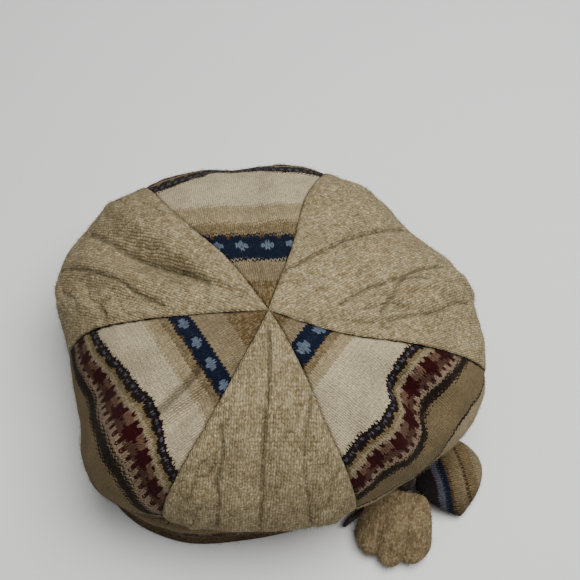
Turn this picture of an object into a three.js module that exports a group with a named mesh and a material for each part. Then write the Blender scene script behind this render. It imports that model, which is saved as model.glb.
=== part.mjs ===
// Patchwork beanie of felted knitwear: six wedge panels round an apex, a band, and a cloth flower.
// Millimetres, +Z up. The hat rests on the rolled edge of its band, with its crown up, as it does on a table.
import * as THREE from 'three';

// Crown
const CROWN_RADIUS = 122;      // widest spread of the crown, before the outline's shares
const CROWN_RISE = 86;         // from the band's top edge up to the apex
const KNIT_WALL = 3;           // felted knit of the panels
const SEAM_GAP = 0.3;          // clearance between neighbouring pieces
const SEAM_DIP = 1.6;          // how far a seam pulls the cloth in
const SEAM_REACH = 8;          // how wide the groove of a seam is
const APEX_HOLE = 1.3;         // radius of the small gathered opening where the six tips meet

// Band
const BAND_RADIUS = 97;        // outer radius at the band's top edge, before the outline's shares
const BAND_HEIGHT = 36;
const BAND_WALL = 4.5;
const HEM_BULGE = 2.2;         // how far the rolled hem swells past the band's outside
const HEM_HEIGHT = 9;

// Flower
const FLOWER_BEARING = 320;    // degrees round the band, from +X
const FLOWER_HEIGHT = 21;      // of the flower's middle, above the table
const HEART_RADIUS = 7;
const HEART_DEPTH = 14;        // from the band outwards
const HEART_GATHER = 0.1;      // share that every other gather is drawn in
const FAN_LENGTH = 48;         // the big oatmeal petal
const FAN_WIDTH = 44;
const FAN_THICKNESS = 9;
const STRIPED_LENGTH = 51;     // the petal with stripes across it
const STRIPED_WIDTH = 54;
const STRIPED_THICKNESS = 8;
const PETAL_RIM = 0.45;        // share of a petal's thickness left at its rim
const SIDE_RIM = 4;            // the higher, the narrower is the thinned rim along the sides
const END_RIM = 8;             // the same for the two ends
const RIB_DEPTH = 0.3;         // share of the thickness that the folds between two lobes take away
const DARK_LENGTH = 33;        // the dark petal that lies along the band
const DARK_WIDTH = 13;
const DARK_THICKNESS = 5;
const DARK_SPREAD = 9;         // how far its tip stands off the band
const DARK_TIP = { width: 0.35, rise: 0.3, thickness: 0.6 };   // shares left at the dark petal's tip
const TABLE_CLEARANCE = 0.8;   // between the lowest petal and the table

// Facets
const CABLE_STEPS = { across: 16, along: 20 };
const FAIR_ISLE_STEPS = { across: 12, along: 20 };
const FAN_STEPS = { across: 18, along: 7 };
const STRIPED_STEPS = { across: 12, along: 7 };
const DARK_STEPS = { across: 4, along: 9 };
const BAND_STEPS = 56;
const HEART_STEPS = { around: 12, deep: 6 };

// Plan outline, an even step of bearing from +X: the crown and band as shares of their radii.
const OUTLINE = [
  { crown: 1.01, band: 0.98 },
  { crown: 1.00, band: 0.96 },
  { crown: 0.96, band: 0.95 },
  { crown: 0.98, band: 0.95 },
  { crown: 1.00, band: 0.96 },
  { crown: 1.00, band: 0.98 },
  { crown: 1.07, band: 1.01 },
  { crown: 1.12, band: 1.04 },
  { crown: 1.11, band: 1.07 },
  { crown: 0.96, band: 1.10 },
  { crown: 0.93, band: 1.15 },
  { crown: 1.00, band: 1.22 },
  { crown: 0.89, band: 1.14 },
  { crown: 0.83, band: 1.00 },
  { crown: 0.82, band: 0.93 },
  { crown: 0.83, band: 0.92 },
  { crown: 0.88, band: 0.97 },
  { crown: 0.99, band: 0.99 },
];

// Profile of the crown from the apex down to the band: shares of the crown's and the band's radius,
// and of the rise.
const PROFILE = [
  { crown: 0.00, band: 0.00, rise: 0.985 },
  { crown: 0.16, band: 0.00, rise: 0.980 },
  { crown: 0.36, band: 0.00, rise: 0.945 },
  { crown: 0.57, band: 0.00, rise: 0.870 },
  { crown: 0.77, band: 0.00, rise: 0.735 },
  { crown: 0.92, band: 0.00, rise: 0.540 },
  { crown: 1.00, band: 0.00, rise: 0.310 },
  { crown: 0.90, band: 0.10, rise: 0.100 },
  { crown: 0.45, band: 0.55, rise: 0.000 },
  { crown: 0.00, band: 1.00, rise: 0.000 },
];

// Panels in order round the crown, each from its own seam to the next: bearing of the seam at the rim,
// and how many degrees it has wandered by the time it reaches the apex.
const PANELS = [
  { name: 'panel_right_cable', seam: 354, wander: -14, cloth: 'oatmeal' },
  { name: 'panel_back_fair_isle', seam: 74, wander: 0, cloth: 'cream' },
  { name: 'panel_left_cable', seam: 126, wander: 0, cloth: 'oatmeal' },
  { name: 'panel_front_left_fair_isle', seam: 182, wander: 2, cloth: 'cream' },
  { name: 'panel_front_cable', seam: 239, wander: 9, cloth: 'oatmeal' },
  { name: 'panel_front_right_fair_isle', seam: 297, wander: 7, cloth: 'cream' },
];

// Dents and soft ridges: bearing and spread in degrees, place and reach as shares of the way from the
// apex to the band, slant in degrees over that way, depth as a share of the rise.
const FOLDS = [
  { bearing: 152, spread: 10, place: 0.38, reach: 0.36, slant: -10, depth: 0.085 },
  { bearing: 139, spread: 9, place: 0.48, reach: 0.30, slant: 0, depth: -0.030 },
  { bearing: 168, spread: 9, place: 0.50, reach: 0.26, slant: -30, depth: 0.040 },
  { bearing: 231, spread: 8, place: 0.40, reach: 0.20, slant: -30, depth: 0.055 },
  { bearing: 221, spread: 12, place: 0.62, reach: 0.22, slant: 0, depth: -0.040 },
  { bearing: 200, spread: 12, place: 0.62, reach: 0.28, slant: 0, depth: 0.040 },
  { bearing: 333, spread: 10, place: 0.48, reach: 0.22, slant: 0, depth: 0.055 },
  { bearing: 315, spread: 10, place: 0.58, reach: 0.24, slant: 0, depth: -0.040 },
  { bearing: 267, spread: 9, place: 0.55, reach: 0.40, slant: 0, depth: 0.022 },
  { bearing: 40, spread: 16, place: 0.60, reach: 0.28, slant: 0, depth: 0.050 },
  { bearing: 15, spread: 14, place: 0.50, reach: 0.26, slant: 20, depth: -0.025 },
  { bearing: 98, spread: 14, place: 0.50, reach: 0.26, slant: 0, depth: 0.025 },
];

// Raised cables (height above 0) and sunk purl lines (below 0) of the cable panels. across is the share
// of the way from the panel's own seam to the next, start the share of the way from apex to band.
const RIBS = [
  { panel: 'panel_front_cable', across: 0.26, spread: 0.13, start: 0.30, height: 2.2 },
  { panel: 'panel_front_cable', across: 0.50, spread: 0.07, start: 0.08, height: -2.0 },
  { panel: 'panel_front_cable', across: 0.74, spread: 0.13, start: 0.30, height: 2.2 },
  { panel: 'panel_left_cable', across: 0.22, spread: 0.12, start: 0.35, height: 2.0 },
  { panel: 'panel_left_cable', across: 0.80, spread: 0.12, start: 0.35, height: 2.4 },
  { panel: 'panel_right_cable', across: 0.26, spread: 0.11, start: 0.20, height: 2.4 },
  { panel: 'panel_right_cable', across: 0.66, spread: 0.07, start: 0.10, height: -1.8 },
  { panel: 'panel_right_cable', across: 0.84, spread: 0.12, start: 0.40, height: 1.6 },
];

// Section of the band, up its outside and down its inside: shares of the wall outwards, of the hem's
// bulge outwards, and of the band's and the hem's height upwards.
const BAND_SECTION = [
  { wall: 0.20, bulge: 0.0, band: 0, hem: 0.00 },
  { wall: 0.80, bulge: 0.4, band: 0, hem: 0.00 },
  { wall: 1.00, bulge: 0.9, band: 0, hem: 0.22 },
  { wall: 1.00, bulge: 1.0, band: 0, hem: 0.50 },
  { wall: 1.00, bulge: 0.5, band: 0, hem: 0.85 },
  { wall: 1.00, bulge: 0.1, band: 0, hem: 1.15 },
  { wall: 1.00, bulge: 0.2, band: 0.6, hem: 0.00 },
  { wall: 1.00, bulge: 0.0, band: 1, hem: 0.00 },
  { wall: 0.00, bulge: 0.0, band: 1, hem: 0.00 },
  { wall: 0.00, bulge: 0.0, band: 0, hem: 0.90 },
  { wall: 0.00, bulge: 0.0, band: 0, hem: 0.20 },
];

const CLOTHS = {
  oatmeal: { color: 0xb4a184, roughness: 0.95, metalness: 0 },
  cream: { color: 0xc9bfa6, roughness: 0.95, metalness: 0 },
  olive: { color: 0x7a6344, roughness: 0.95, metalness: 0 },
  gold: { color: 0x8f7547, roughness: 0.95, metalness: 0 },
  dark: { color: 0x2b2430, roughness: 0.95, metalness: 0 },
};

const radians = THREE.MathUtils.degToRad;
const mix = THREE.MathUtils.lerp;

// A smooth hump that is 1 at 0 and 0 at -1 and 1.
function hump(x) {
  return Math.abs(x) < 1 ? 0.5 + 0.5 * Math.cos(Math.PI * x) : 0;
}

function turnBetween(bearing, other) {
  return THREE.MathUtils.euclideanModulo(bearing - other + 180, 360) - 180;
}

// A column of the outline, run smoothly through its rows.
function outlineShare(column, bearing) {
  const count = OUTLINE.length;
  const place = (THREE.MathUtils.euclideanModulo(bearing, 360) / 360) * count;
  const row = Math.floor(place);
  const t = place - row;
  const [a, b, c, d] = [-1, 0, 1, 2].map((step) => OUTLINE[(row + step + count) % count][column]);
  const slopes = 2 * b + (c - a) * t;
  return 0.5 * (slopes + (2 * a - 5 * b + 4 * c - d) * t ** 2 + (3 * b - a - 3 * c + d) * t ** 3);
}

function bandOutside(bearing) {
  return BAND_RADIUS * outlineShare('band', bearing);
}

// The crown's profile at one bearing, with radius as x and height as y.
function crownProfile(bearing) {
  const crown = CROWN_RADIUS * outlineShare('crown', bearing);
  const seat = bandOutside(bearing) - BAND_WALL;
  const foot = BAND_HEIGHT + SEAM_GAP;
  return new THREE.SplineCurve(PROFILE.map((row) => new THREE.Vector2(
    row.crown * crown + row.band * seat,
    foot + row.rise * CROWN_RISE,
  )));
}

function foldDepth(bearing, way) {
  return FOLDS.reduce((sum, fold) => {
    const aside = turnBetween(bearing, fold.bearing + fold.slant * (way - fold.place));
    return sum + CROWN_RISE * fold.depth * hump(aside / fold.spread) * hump((way - fold.place) / fold.reach);
  }, 0);
}

function ribRise(panel, across, way) {
  return RIBS.filter((rib) => rib.panel === panel.name).reduce((sum, rib) => {
    const grown = THREE.MathUtils.smoothstep(way, rib.start, rib.start + 0.2);
    return sum + rib.height * grown * hump((across - rib.across) / rib.spread);
  }, 0);
}

function seamBearing(panel, way) {
  return panel.seam + panel.wander * (1 - way) ** 2;
}

// A point of the crown's outside, or that far below it. aside is the distance to the nearest seam.
function crownPoint(bearing, way, aside, rise, below) {
  const profile = crownProfile(bearing);
  const spot = profile.getPointAt(way);
  const along = profile.getTangentAt(way);
  const dip = SEAM_DIP * Math.exp(-((aside / SEAM_REACH) ** 2)) + foldDepth(bearing, way);
  const depth = dip - rise + below;
  const radius = spot.x + along.y * depth;
  const foot = BAND_HEIGHT + SEAM_GAP;
  const height = Math.max(spot.y - along.x * depth, foot + below);
  return new THREE.Vector3(
    radius * Math.cos(radians(bearing)),
    radius * Math.sin(radians(bearing)),
    height,
  );
}

// A closed solid between two sheets of points, with a wall round the edge of both.
function slab(steps, outside, inside) {
  const columns = steps.across + 1;
  const rows = steps.along + 1;
  const points = [];
  for (const sheet of [outside, inside]) {
    for (let j = 0; j < rows; j += 1) {
      for (let i = 0; i < columns; i += 1) {
        points.push(...sheet(i / steps.across, j / steps.along).toArray());
      }
    }
  }
  const below = columns * rows;
  const faces = [];
  const quad = (a, b, c, d) => faces.push(a, b, c, a, c, d);
  for (let j = 0; j < steps.along; j += 1) {
    for (let i = 0; i < steps.across; i += 1) {
      const a = j * columns + i;
      const [b, c, d] = [a + columns, a + columns + 1, a + 1];
      quad(a, b, c, d);
      quad(below + a, below + d, below + c, below + b);
    }
  }
  const wall = (a, b) => quad(b, a, below + a, below + b);
  for (let i = 0; i < steps.across; i += 1) {
    wall(i + 1, i);
    wall(steps.along * columns + i, steps.along * columns + i + 1);
  }
  for (let j = 0; j < steps.along; j += 1) {
    wall(j * columns, (j + 1) * columns);
    wall((j + 1) * columns + steps.across, j * columns + steps.across);
  }
  return solid(points, faces);
}

// A closed ring swept round the vertical: section(bearing) gives the loop of points at that bearing.
function ring(steps, section) {
  const loops = Array.from({ length: steps }, (_, k) => section((k / steps) * 360));
  const size = loops[0].length;
  const faces = [];
  for (let k = 0; k < steps; k += 1) {
    for (let i = 0; i < size; i += 1) {
      const a = k * size + i;
      const b = k * size + ((i + 1) % size);
      const shift = (((k + 1) % steps) - k) * size;
      faces.push(a, a + shift, b + shift, a, b + shift, b);
    }
  }
  return solid(loops.flat().flatMap((point) => point.toArray()), faces);
}

function solid(points, faces) {
  const geometry = new THREE.BufferGeometry();
  geometry.setAttribute('position', new THREE.Float32BufferAttribute(points, 3));
  geometry.setIndex(faces);
  geometry.computeVertexNormals();
  return geometry;
}

function panelGeometry(panel, next) {
  const sweep = THREE.MathUtils.euclideanModulo(next.seam - panel.seam, 360);
  const sheet = (below) => (across, along) => {
    const far = crownProfile(panel.seam).getLength();
    const way = mix(APEX_HOLE / far, 1, along);
    const start = seamBearing(panel, way);
    const end = start + sweep + (next.wander - panel.wander) * (1 - way) ** 2;
    const radius = Math.max(crownProfile(mix(start, end, across)).getPointAt(way).x, APEX_HOLE);
    const inset = THREE.MathUtils.radToDeg(Math.asin(Math.min(SEAM_GAP / 2 / (radius - KNIT_WALL / 4), 0.5)));
    const bearing = mix(start + inset, end - inset, across);
    const aside = radius * radians(Math.min(bearing - start, end - bearing));
    return crownPoint(bearing, way, aside, ribRise(panel, across, way), below);
  };
  const steps = panel.cloth === 'cream' ? FAIR_ISLE_STEPS : CABLE_STEPS;
  return slab(steps, sheet(0), sheet(KNIT_WALL));
}

function bandGeometry() {
  return ring(BAND_STEPS, (bearing) => BAND_SECTION.map((row) => {
    const radius = bandOutside(bearing) - BAND_WALL * (1 - row.wall) + HEM_BULGE * row.bulge;
    const height = BAND_HEIGHT * row.band + HEM_HEIGHT * row.hem;
    return new THREE.Vector3(
      radius * Math.cos(radians(bearing)),
      radius * Math.sin(radians(bearing)),
      height,
    );
  }));
}

// A point a given way out from the band's outside.
function besideBand(bearing, out, height) {
  const radius = bandOutside(bearing) + out;
  return new THREE.Vector3(radius * Math.cos(radians(bearing)), radius * Math.sin(radians(bearing)), height);
}

// How far the band's face stands out at a height, because of its hem.
function bandSwell(height) {
  const face = BAND_SECTION.slice(1, 8).map((row) => ({
    height: BAND_HEIGHT * row.band + HEM_HEIGHT * row.hem,
    swell: HEM_BULGE * row.bulge,
  }));
  const above = Math.max(face.findIndex((row) => row.height >= height), 1);
  const [low, high] = [face[above - 1], face[above]];
  return mix(low.swell, high.swell, (height - low.height) / (high.height - low.height));
}

const heart = besideBand(
  FLOWER_BEARING,
  bandSwell(FLOWER_HEIGHT) + SEAM_GAP + HEART_DEPTH / 2,
  FLOWER_HEIGHT,
);

// The gathered knot of cloth in the middle of the flower, sewn to the band at its back.
function heartGeometry() {
  const rows = HEART_STEPS.deep;
  const around = HEART_STEPS.around;
  const out = new THREE.Vector3(Math.cos(radians(FLOWER_BEARING)), Math.sin(radians(FLOWER_BEARING)), 0);
  const side = new THREE.Vector3(-out.y, out.x, 0);
  const spot = (tilt, turn, gather) => heart.clone()
    .addScaledVector(out, (HEART_DEPTH / 2) * Math.cos(tilt))
    .addScaledVector(side, HEART_RADIUS * Math.sin(tilt) * Math.cos(turn) * gather)
    .add(new THREE.Vector3(0, 0, HEART_RADIUS * Math.sin(tilt) * Math.sin(turn) * gather));
  const points = [];
  for (let j = 1; j < rows; j += 1) {
    for (let i = 0; i < around; i += 1) {
      points.push(spot((Math.PI * j) / rows, (2 * Math.PI * i) / around, 1 - HEART_GATHER * (i % 2)));
    }
  }
  const front = points.push(spot(0, 0, 1)) - 1;
  const back = points.push(spot(Math.PI, 0, 1)) - 1;
  const faces = [];
  const last = (rows - 2) * around;
  for (let i = 0; i < around; i += 1) {
    const next = (i + 1) % around;
    faces.push(front, i, next, back, last + next, last + i);
    for (let j = 0; j < rows - 2; j += 1) {
      const a = j * around + i;
      const b = j * around + next;
      faces.push(a, a + around, b + around, a, b + around, b);
    }
  }
  return solid(points.flatMap((point) => point.toArray()), faces);
}

// The way each petal points, the share of its width at the root and how soon it widens, its lobes and the
// notches between them, how far its sides lag behind its middle, and how late it sinks to the table.
const PETAL_SHAPES = {
  fan: { bearing: 258, neck: 0.34, flare: 0.26, lobes: 3, scallop: 0.1, round: 0.29, droop: 1.83 },
  striped: { bearing: 15, neck: 0.34, flare: 0.69, lobes: 1, scallop: 0.05, round: 0.47, droop: 0.68 },
};

// A thick folded petal that fans out from the flower's heart and sinks to the table.
function petalGeometry(steps, sizes, { bearing, neck, flare, lobes, scallop, round, droop }) {
  const { length, width, thickness } = sizes;
  const ahead = new THREE.Vector3(Math.cos(radians(bearing)), Math.sin(radians(bearing)), 0);
  const side = new THREE.Vector3(-ahead.y, ahead.x, 0);
  const start = HEART_RADIUS * (1 - HEART_GATHER / 2) + SEAM_GAP;
  const lowest = TABLE_CLEARANCE + thickness / 2;
  const sheet = (sign) => (across, along) => {
    const v = 2 * across - 1;
    const notch = scallop * (1 - Math.abs(Math.cos((lobes * Math.PI * v) / 2)));
    const reach = 1 - round * v ** 2 - notch;
    const spread = mix(neck, 1, along ** flare);
    const edge = Math.max(Math.abs(v) ** SIDE_RIM, (2 * along - 1) ** END_RIM);
    const rib = 1 - RIB_DEPTH * Math.abs(Math.sin((lobes * Math.PI * v) / 2)) * along;
    const half = (thickness / 2) * mix(1, PETAL_RIM, edge) * rib;
    const height = mix(heart.z, lowest, along ** droop);
    return heart.clone()
      .addScaledVector(ahead, start + (length - start) * along * reach)
      .addScaledVector(side, (width / 2) * v * spread)
      .setZ(height + sign * half);
  };
  return slab(steps, sheet(1), sheet(-1));
}

// The dark petal that shows beside the fan: a strip stood against the band.
function darkPetalGeometry() {
  const degreesPerLength = 360 / (2 * Math.PI * bandOutside(FLOWER_BEARING));
  const first = FLOWER_BEARING - (HEART_RADIUS + SEAM_GAP) * degreesPerLength;
  const sheet = (out) => (across, along) => {
    const bearing = first - DARK_LENGTH * along * degreesPerLength;
    const taper = mix(1, DARK_TIP.width, along ** 2);
    const middle = mix(FLOWER_HEIGHT - DARK_WIDTH, TABLE_CLEARANCE + DARK_WIDTH * DARK_TIP.rise, along);
    const height = middle + DARK_WIDTH * (across - 0.5) * taper;
    const lean = mix(HEM_BULGE + SEAM_GAP, DARK_SPREAD, along ** 2);
    return besideBand(bearing, lean + out * mix(1, DARK_TIP.thickness, along), height);
  };
  return slab(DARK_STEPS, sheet(0), sheet(DARK_THICKNESS));
}

function piece(name, cloth, geometry) {
  const mesh = new THREE.Mesh(geometry, new THREE.MeshStandardMaterial(CLOTHS[cloth]));
  mesh.name = name;
  return mesh;
}

// The hat's own axis is the crown's; the frame's origin is the middle of the space that the hat takes up.
function centre(group) {
  const box = new THREE.Box3().setFromObject(group);
  const middle = box.getCenter(new THREE.Vector3());
  group.position.set(-middle.x, -middle.y, 0);
  group.updateMatrixWorld(true);
}

const beanie = new THREE.Group();
PANELS.forEach((panel, k) => {
  beanie.add(piece(panel.name, panel.cloth, panelGeometry(panel, PANELS[(k + 1) % PANELS.length])));
});
beanie.add(piece('band', 'olive', bandGeometry()));
beanie.add(piece('flower_heart', 'dark', heartGeometry()));
beanie.add(piece('petal_oatmeal', 'oatmeal', petalGeometry(
  FAN_STEPS,
  { length: FAN_LENGTH, width: FAN_WIDTH, thickness: FAN_THICKNESS },
  PETAL_SHAPES.fan,
)));
beanie.add(piece('petal_striped', 'gold', petalGeometry(
  STRIPED_STEPS,
  { length: STRIPED_LENGTH, width: STRIPED_WIDTH, thickness: STRIPED_THICKNESS },
  PETAL_SHAPES.striped,
)));
beanie.add(piece('petal_dark', 'dark', darkPetalGeometry()));
centre(beanie);

export default beanie;
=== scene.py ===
# %% [markdown]
# # A patchwork beanie of felted knitwear
# The hat is cut from two old jumpers, one in oatmeal cables and one in a cream Fair Isle pattern. Six
# wedges are sewn together round the crown, a striped band holds the head, and a cloth flower sits on the
# band. The part's own model already gives every piece its place, so this lesson only dresses it: each wedge
# becomes a dense sheet of cloth that follows the same shape, with cables, seams and creases, and then it
# gets a knitted finish.

import math

import bpy
import mathutils
import numpy as np
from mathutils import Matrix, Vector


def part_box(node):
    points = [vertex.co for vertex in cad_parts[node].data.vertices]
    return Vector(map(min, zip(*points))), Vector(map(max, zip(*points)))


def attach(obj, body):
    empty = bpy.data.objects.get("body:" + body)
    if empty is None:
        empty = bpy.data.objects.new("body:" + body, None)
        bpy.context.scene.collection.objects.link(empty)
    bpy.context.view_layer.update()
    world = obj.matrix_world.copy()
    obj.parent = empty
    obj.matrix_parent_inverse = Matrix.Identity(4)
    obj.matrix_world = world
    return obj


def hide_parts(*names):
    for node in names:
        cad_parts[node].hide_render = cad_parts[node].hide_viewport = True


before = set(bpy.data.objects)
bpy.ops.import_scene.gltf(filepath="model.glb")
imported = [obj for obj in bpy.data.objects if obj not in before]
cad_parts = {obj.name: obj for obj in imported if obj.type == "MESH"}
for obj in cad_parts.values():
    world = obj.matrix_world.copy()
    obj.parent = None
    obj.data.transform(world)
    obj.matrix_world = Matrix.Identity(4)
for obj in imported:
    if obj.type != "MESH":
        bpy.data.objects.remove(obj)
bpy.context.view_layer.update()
bpy.ops.object.select_all(action="DESELECT")

# %% [markdown]
# ## The camera and the floor
# The photograph looks steeply down on the hat, so that it shows the crown and only a sliver of the band. A
# camera is easiest to match when it is given by the point it looks at, its angle above the floor and its
# distance. The floor is one plain pale sheet, no part of the hat.

# %% Camera
MM = 0.001
LOOK_AT = (11.0 * MM, 33.3 * MM, 62 * MM)
ELEVATION = math.radians(65)
DISTANCE = 500 * MM
LENS = 52.1            # on the camera's own 36 mm sensor


def add_camera():
    x, y, z = LOOK_AT
    place = (x, y - DISTANCE * math.cos(ELEVATION), z + DISTANCE * math.sin(ELEVATION))
    bpy.ops.object.camera_add(location=place, rotation=(math.radians(90) - ELEVATION, 0, 0))
    camera = bpy.context.object
    camera.data.lens = LENS
    camera.data.clip_start = 0.01
    bpy.context.scene.camera = camera
    return camera


print("camera at", tuple(round(x, 3) for x in add_camera().location))

# %% [markdown]
# ## The shape that all the pieces follow
# Cloth has no straight edges to measure, so the hat's shape is kept as a few short tables: its outline from
# above, its profile from apex to band, and its folds. Smooth curves run through the rows. A sheet of cloth
# could also be dropped on a head by simulation, but then its dents would fall anywhere, and here they have
# known places.

# %% Named sizes and tables
CROWN_RADIUS = 122 * MM
CROWN_RISE = 86 * MM
KNIT_WALL = 3 * MM
SEAM_GAP = 0.3 * MM
BAND_RADIUS = 97 * MM
BAND_HEIGHT = 36 * MM
BAND_WALL = 4.5 * MM
HEM_BULGE = 2.2 * MM
HEM_HEIGHT = 9 * MM
BAND_STEPS = 56

# Shares of the crown's and the band's radius, an even step of bearing from +X.
OUTLINE = {
    "crown": (1.01, 1.00, 0.96, 0.98, 1.00, 1.00, 1.07, 1.12, 1.11,
              0.96, 0.93, 1.00, 0.89, 0.83, 0.82, 0.83, 0.88, 0.99),
    "band": (0.98, 0.96, 0.95, 0.95, 0.96, 0.98, 1.01, 1.04, 1.07,
              1.10, 1.15, 1.22, 1.14, 1.00, 0.93, 0.92, 0.97, 0.99),
}

# From the apex down to the band: shares of the crown's radius, of the band's radius and of the rise.
PROFILE = {
    "crown": (0.00, 0.16, 0.36, 0.57, 0.77, 0.92, 1.00, 0.90, 0.45, 0.00),
    "band": (0.00, 0.00, 0.00, 0.00, 0.00, 0.00, 0.00, 0.10, 0.55, 1.00),
    "rise": (0.985, 0.980, 0.945, 0.870, 0.735, 0.540, 0.310, 0.100, 0.000, 0.000),
}

# Each panel runs from its own seam to the next one's: bearing at the rim, and wander towards the apex.
PANELS = (
    {"name": "panel_right_cable", "seam": 354, "wander": -14, "cloth": "oatmeal"},
    {"name": "panel_back_fair_isle", "seam": 74, "wander": 0, "cloth": "cream"},
    {"name": "panel_left_cable", "seam": 126, "wander": 0, "cloth": "oatmeal"},
    {"name": "panel_front_left_fair_isle", "seam": 182, "wander": 2, "cloth": "cream"},
    {"name": "panel_front_cable", "seam": 239, "wander": 9, "cloth": "oatmeal"},
    {"name": "panel_front_right_fair_isle", "seam": 297, "wander": 7, "cloth": "cream"},
)

# How far in mm the needle strays from each panel's own seam, at even steps of the way from apex to band.
STRAYS = (
    (0, -1.8, 0.6, 1.0, 0, 0), (0, -1.2, 1.4, -1.2, 0, 0), (0, 0.4, 5.6, 4.2, 1.2, 0),
    (0, -0.6, -1.8, -3.2, -1.5, 0), (0, -0.4, 0, -0.8, -1.0, 0), (0, -1.2, -2.8, -0.8, 0.8, 0),
)

FOLD_GAIN = 1.3        # the cloth folds a little more sharply than the part's plain wall

# bearing, spread, place and reach on the way from apex to band, slant, depth as a share of the rise
FOLDS = (
    (152, 10, 0.38, 0.36, -10, 0.085), (139, 9, 0.48, 0.30, 0, -0.030), (168, 9, 0.50, 0.26, -30, 0.040),
    (231, 8, 0.40, 0.20, -30, 0.055), (221, 12, 0.62, 0.22, 0, -0.040), (200, 12, 0.62, 0.28, 0, 0.040),
    (333, 10, 0.48, 0.22, 0, 0.055), (315, 10, 0.58, 0.24, 0, -0.040), (267, 9, 0.55, 0.40, 0, 0.022),
    (40, 16, 0.60, 0.28, 0, 0.050), (15, 14, 0.50, 0.26, 20, -0.025), (98, 14, 0.50, 0.26, 0, 0.025),
)
print(len(PANELS), "panels and", len(FOLDS), "folds")


# %% Smooth curves through the tables
def smooth(values, place, closed=False):
    """The values of a table at places between its rows, on one smooth curve."""
    values = np.asarray(values, float)
    count = len(values)
    row = np.floor(place).astype(int)
    if not closed:
        row = np.minimum(row, count - 2)
    near = [row + step for step in (-1, 0, 1, 2)]
    a, b, c, d = (values[k % count if closed else np.clip(k, 0, count - 1)] for k in near)
    t = place - row
    return 0.5 * (2 * b + (c - a) * t + (2 * a - 5 * b + 4 * c - d) * t**2 + (3 * b - a - 3 * c + d) * t**3)


def outline(column, bearing):
    shares = OUTLINE[column]
    return smooth(shares, np.mod(bearing, 360) / 360 * len(shares), closed=True)


def hump(x):
    """1 at 0, falling smoothly to 0 at -1 and 1."""
    return np.where(np.abs(x) < 1, 0.5 + 0.5 * np.cos(np.pi * np.clip(x, -1, 1)), 0.0)


def ramp(x, low, high):
    t = np.clip((x - low) / (high - low), 0, 1)
    return t * t * (3 - 2 * t)


def turn_between(bearing, other):
    return np.mod(bearing - other + 180, 360) - 180


def polar(radius, bearing, height):
    """Points round the upright axis, from bearings in degrees."""
    turn = np.radians(bearing)
    return np.stack([radius * np.cos(turn), radius * np.sin(turn), height], axis=-1)


def folds(bearing, way):
    depth = 0.0
    for at, spread, place, reach, slant, share in FOLDS:
        aside = turn_between(bearing, at + slant * (way - place))
        depth = depth + CROWN_RISE * share * hump(aside / spread) * hump((way - place) / reach)
    return FOLD_GAIN * depth


print("crown at the front", round(CROWN_RADIUS / MM * float(outline("crown", np.array(270.0))), 1), "mm")

# %% [markdown]
# ## From a way along the profile to a point in space
# Every point of the crown is named by its bearing and by its way, the share of the profile's length from
# the apex to the band. Working with lengths keeps the knit even, because a stitch is as long on the steep
# side as on top. The profiles are worked out once on a fine grid of bearings and ways, and then looked up.

# %% Look-up table of the crown
BEARINGS = 721
WAYS = 201
FOOT = BAND_HEIGHT + SEAM_GAP


def crown_table():
    bearing = np.linspace(0, 360, BEARINGS)
    crown = CROWN_RADIUS * outline("crown", bearing)
    seat = BAND_RADIUS * outline("band", bearing) - BAND_WALL
    place = np.linspace(0, len(PROFILE["rise"]) - 1, 500)
    rows = {name: smooth(column, place) for name, column in PROFILE.items()}
    radius = rows["crown"] * crown[:, None] + rows["band"] * seat[:, None]
    height = np.maximum(FOOT + rows["rise"] * CROWN_RISE, FOOT) + 0 * radius
    step = np.hypot(np.diff(radius, axis=1), np.diff(height, axis=1))
    run = np.concatenate([np.zeros((BEARINGS, 1)), np.cumsum(step, axis=1)], axis=1)
    table = np.zeros((BEARINGS, WAYS, 5))
    for k in range(BEARINGS):
        at = np.linspace(0, run[k, -1], WAYS)
        table[k, :, 0] = np.interp(at, run[k], radius[k])
        table[k, :, 1] = np.interp(at, run[k], height[k])
    along = np.gradient(table[..., :2], axis=1)
    along /= np.linalg.norm(along, axis=2, keepdims=True)
    table[..., 2], table[..., 3] = -along[..., 1], along[..., 0]
    table[..., 4] = run[:, -1:]
    return table


CROWN = crown_table()


def crown_at(bearing, way):
    """Radius, height, the two parts of the outward direction, and the length of the whole way."""
    x = np.mod(bearing, 360) / 360 * (BEARINGS - 1)
    y = np.clip(way, 0, 1) * (WAYS - 1)
    i = np.minimum(x.astype(int), BEARINGS - 2)
    j = np.minimum(y.astype(int), WAYS - 2)
    s, t = (x - i)[..., None], (y - j)[..., None]
    upper = CROWN[i, j] * (1 - s) + CROWN[i + 1, j] * s
    lower = CROWN[i, j + 1] * (1 - s) + CROWN[i + 1, j + 1] * s
    return np.moveaxis(upper * (1 - t) + lower * t, -1, 0)


print("longest way", round(float(CROWN[..., 4].max()) / MM, 1), "mm")


# %% Where the hat's axis stands in the frame
def band_middle():
    """Half way between the band's sides, seen from the hat's own axis."""
    bearing = np.arange(BAND_STEPS) * 360 / BAND_STEPS
    radius = BAND_RADIUS * outline("band", bearing) + HEM_BULGE
    x, y, _ = polar(radius, bearing, 0 * radius).T
    return np.array([(x.min() + x.max()) / 2, (y.min() + y.max()) / 2])


band_low, band_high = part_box("band")
AXIS = (np.array(band_low[:2]) + np.array(band_high[:2])) / 2 - band_middle()
print("axis at", (AXIS / MM).round(3), "mm")

# %% [markdown]
# ## Cables, purl lines and creases
# In cable knitting, bundles of stitches cross over each other like the strands of a rope. Here a strand is
# a rounded ridge whose middle swings from side to side while it rises and sinks, and the cloth's surface is
# the higher of two such strands. Lines of purl stitches between the cables sink in, and felting makes them
# soft. All of them are drawn on the flat cloth: x runs across the panel and y from the apex to the rim.

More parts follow.
